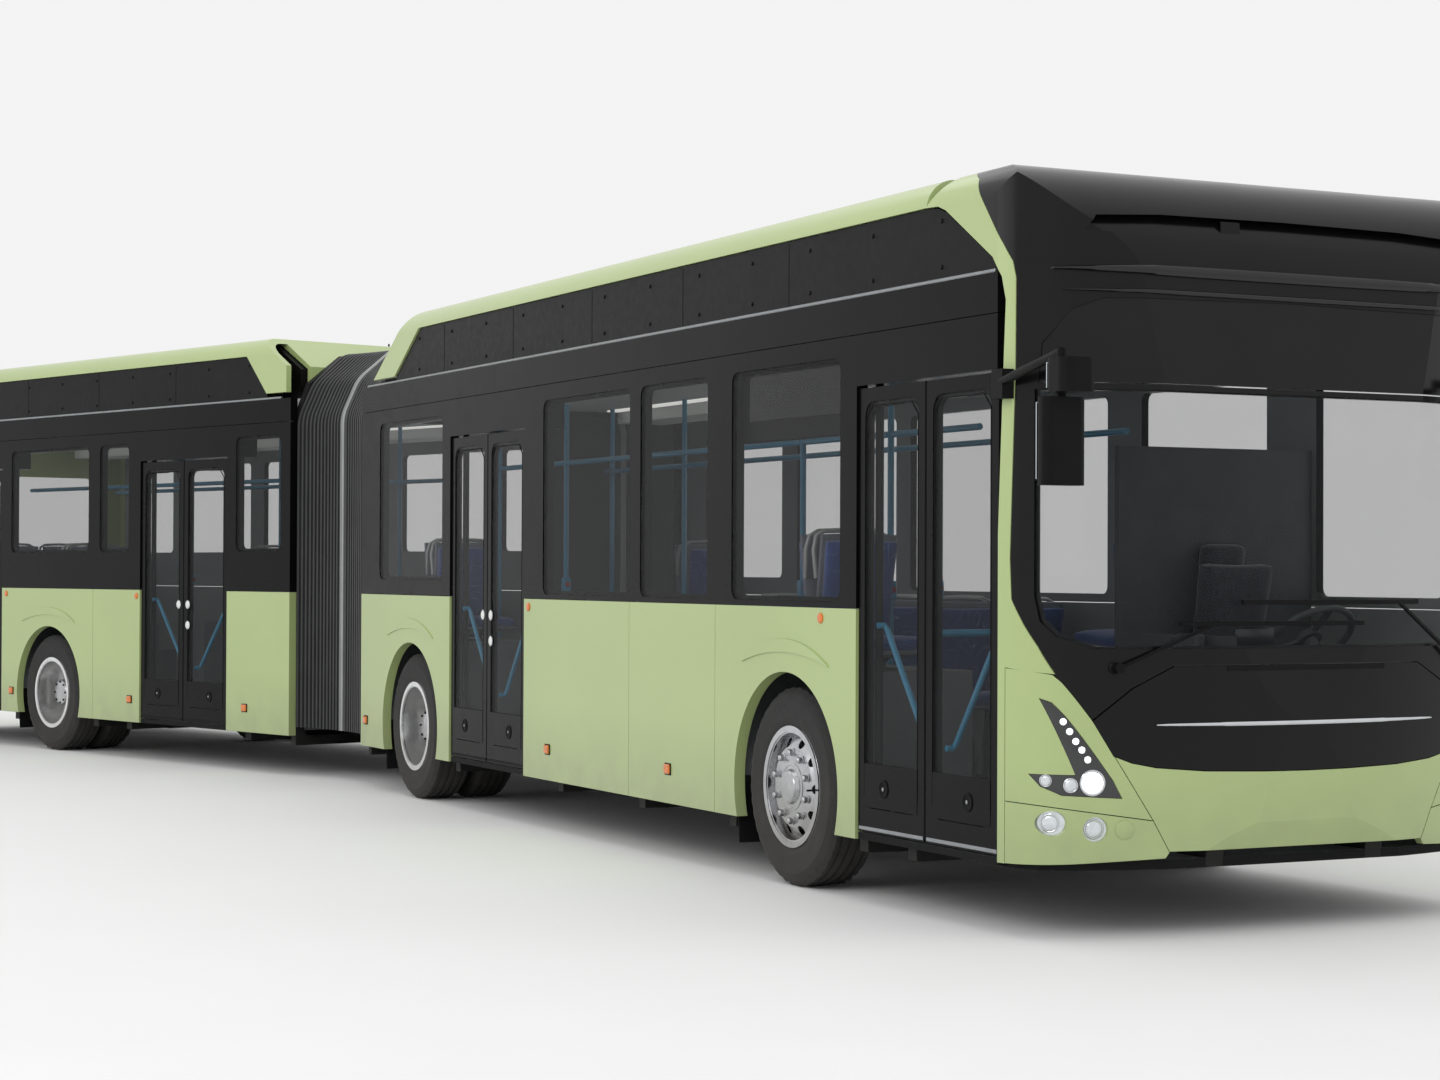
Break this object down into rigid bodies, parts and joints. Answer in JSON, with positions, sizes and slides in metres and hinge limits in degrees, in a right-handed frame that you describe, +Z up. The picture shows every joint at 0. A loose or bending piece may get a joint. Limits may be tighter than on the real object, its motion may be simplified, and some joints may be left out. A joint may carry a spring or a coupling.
{
  "type": "articulated electric city bus",
  "caption": "Four-door articulated low-floor electric city bus in pale green and black, parked with the rear section turned at the joint.",
  "frame": {"origin": "middle of the parked bus's bounding box, on the ground", "axes": "+X forward along the front section, +Y to the bus's left, +Z up"},
  "size_m": [18.2521, 4.7999, 3.29],
  "materials": {
    "body_paint": "gloss",
    "black_panel": "gloss",
    "chassis_steel": "matte",
    "floor_cover": "matte",
    "glazing": "gloss",
    "ceiling_white": "satin",
    "lamp_lens": "gloss",
    "lamp_red": "gloss",
    "black_plastic": "satin",
    "cab_plastic": "matte",
    "dark_cloth": "matte",
    "blue_cloth": "matte",
    "teal_rail": "satin",
    "bellows_rubber": "matte",
    "tyre_rubber": "matte",
    "polished_rim": "satin",
    "door_black": "gloss"
  },
  "bodies": {
    "front_section": {"front_frame": "chassis_steel", "front_floor": "floor_cover", "front_side_panels": "body_paint", "front_window_band": "black_panel", "front_windows": "glazing", "front_roof": "ceiling_white", "front_roof_pod": "black_panel", "front_roof_edge": "body_paint", "front_mask": "black_panel", "front_bumper": "body_paint", "windscreen": "glazing", "front_lamps": "lamp_lens", "wipers": "black_plastic", "mirrors": "black_plastic", "driver_cab": "cab_plastic", "driver_seat": "dark_cloth", "front_seats": "blue_cloth", "front_handrails": "teal_rail", "front_axle": "chassis_steel", "middle_axle": "chassis_steel", "bellows": "bellows_rubber"},
    "rear_section": {"rear_frame": "chassis_steel", "rear_floor": "floor_cover", "rear_side_panels": "body_paint", "rear_window_band": "black_panel", "rear_windows": "glazing", "rear_roof": "ceiling_white", "rear_roof_pod": "black_panel", "rear_roof_edge": "body_paint", "rear_end": "body_paint", "rear_lamps": "lamp_red", "rear_seats": "blue_cloth", "rear_handrails": "teal_rail", "rear_axle": "chassis_steel"},
    "steering_knuckle_left": {"knuckle_left": "chassis_steel"},
    "steering_knuckle_right": {"knuckle_right": "chassis_steel"},
    "wheel_front_left": {"tyre_front_left": "tyre_rubber", "rim_front_left": "polished_rim"},
    "wheel_front_right": {"tyre_front_right": "tyre_rubber", "rim_front_right": "polished_rim"},
    "wheel_middle_left": {"tyres_middle_left": "tyre_rubber", "rims_middle_left": "polished_rim"},
    "wheel_middle_right": {"tyres_middle_right": "tyre_rubber", "rims_middle_right": "polished_rim"},
    "wheel_rear_left": {"tyres_rear_left": "tyre_rubber", "rims_rear_left": "polished_rim"},
    "wheel_rear_right": {"tyres_rear_right": "tyre_rubber", "rims_rear_right": "polished_rim"},
    "door1_front": {"door1_front_leaf": "door_black"},
    "door1_rear": {"door1_rear_leaf": "door_black"},
    "door2_front": {"door2_front_leaf": "door_black"},
    "door2_rear": {"door2_rear_leaf": "door_black"},
    "door3_front": {"door3_front_leaf": "door_black"},
    "door3_rear": {"door3_rear_leaf": "door_black"},
    "door4_front": {"door4_front_leaf": "door_black"},
    "door4_rear": {"door4_rear_leaf": "door_black"}
  },
  "joints": [
    {"name": "articulation", "type": "hinge", "parent": "front_section", "child": "rear_section", "pos_m": [-1.05984, 0.96861, 0.25], "axis": [0, 0, 1], "range_deg": [-67.5, 36.5], "deforming": ["bellows"]},
    {"name": "steering_left", "type": "hinge", "parent": "front_section", "child": "steering_knuckle_left", "pos_m": [6.40016, 2.02861, 0.485], "axis": [0, 0, 1], "range_deg": [-50, 50]},
    {"name": "steering_right", "type": "hinge", "parent": "front_section", "child": "steering_knuckle_right", "pos_m": [6.40016, -0.09139, 0.485], "axis": [0, 0, 1], "range_deg": [-50, 50]},
    {"name": "roll_front_left", "type": "hinge", "parent": "steering_knuckle_left", "child": "wheel_front_left", "pos_m": [6.40016, 2.07561, 0.485], "axis": [0, 1, 0], "continuous": true},
    {"name": "roll_middle_left", "type": "hinge", "parent": "front_section", "child": "wheel_middle_left", "pos_m": [0.78016, 1.91961, 0.485], "axis": [0, 1, 0], "continuous": true},
    {"name": "roll_rear_left", "type": "hinge", "parent": "rear_section", "child": "wheel_rear_left", "pos_m": [-5.73416, 0.6592, 0.485], "axis": [-0.2672, 0.9636, 0], "continuous": true},
    {"name": "roll_front_right", "type": "hinge", "parent": "steering_knuckle_right", "child": "wheel_front_right", "pos_m": [6.40016, -0.13839, 0.485], "axis": [0, 1, 0], "continuous": true},
    {"name": "roll_middle_right", "type": "hinge", "parent": "front_section", "child": "wheel_middle_right", "pos_m": [0.78016, 0.01761, 0.485], "axis": [0, 1, 0], "continuous": true},
    {"name": "roll_rear_right", "type": "hinge", "parent": "rear_section", "child": "wheel_rear_right", "pos_m": [-5.22587, -1.17362, 0.485], "axis": [-0.2672, 0.9636, 0], "continuous": true},
    {"name": "door1_open", "type": "hinge", "parent": "front_section", "child": "door1_front", "pos_m": [8.32716, -0.22439, 1.3], "axis": [0, 0, -1], "range_deg": [0, 90]},
    {"name": "door1_rear_swing", "type": "hinge", "parent": "front_section", "child": "door1_rear", "pos_m": [7.21516, -0.22439, 1.3], "axis": [0, 0, 1], "range_deg": [0, 90]},
    {"name": "door2_open", "type": "hinge", "parent": "front_section", "child": "door2_front", "pos_m": [2.81716, -0.22439, 1.3], "axis": [0, 0, -1], "range_deg": [0, 90]},
    {"name": "door2_rear_swing", "type": "hinge", "parent": "front_section", "child": "door2_rear", "pos_m": [1.64516, -0.22439, 1.3], "axis": [0, 0, 1], "range_deg": [0, 90]},
    {"name": "door3_open", "type": "hinge", "parent": "rear_section", "child": "door3_front", "pos_m": [-2.44183, -0.65267, 1.3], "axis": [0, 0, -1], "range_deg": [0, 90]},
    {"name": "door3_rear_swing", "type": "hinge", "parent": "rear_section", "child": "door3_rear", "pos_m": [-3.58855, -0.97069, 1.3], "axis": [0, 0, 1], "range_deg": [0, 90]},
    {"name": "door4_open", "type": "hinge", "parent": "rear_section", "child": "door4_front", "pos_m": [-6.05545, -1.65482, 1.3], "axis": [0, 0, -1], "range_deg": [0, 90]},
    {"name": "door4_rear_swing", "type": "hinge", "parent": "rear_section", "child": "door4_rear", "pos_m": [-7.20217, -1.97283, 1.3], "axis": [0, 0, 1], "range_deg": [0, 90]}
  ],
  "couplings": [
    {"joint": "steering_right", "follows": "steering_left", "ratio": 1},
    {"joint": "door1_rear_swing", "follows": "door1_open", "ratio": 1},
    {"joint": "door2_rear_swing", "follows": "door2_open", "ratio": 1},
    {"joint": "door3_rear_swing", "follows": "door3_open", "ratio": 1},
    {"joint": "door4_rear_swing", "follows": "door4_open", "ratio": 1}
  ]
}
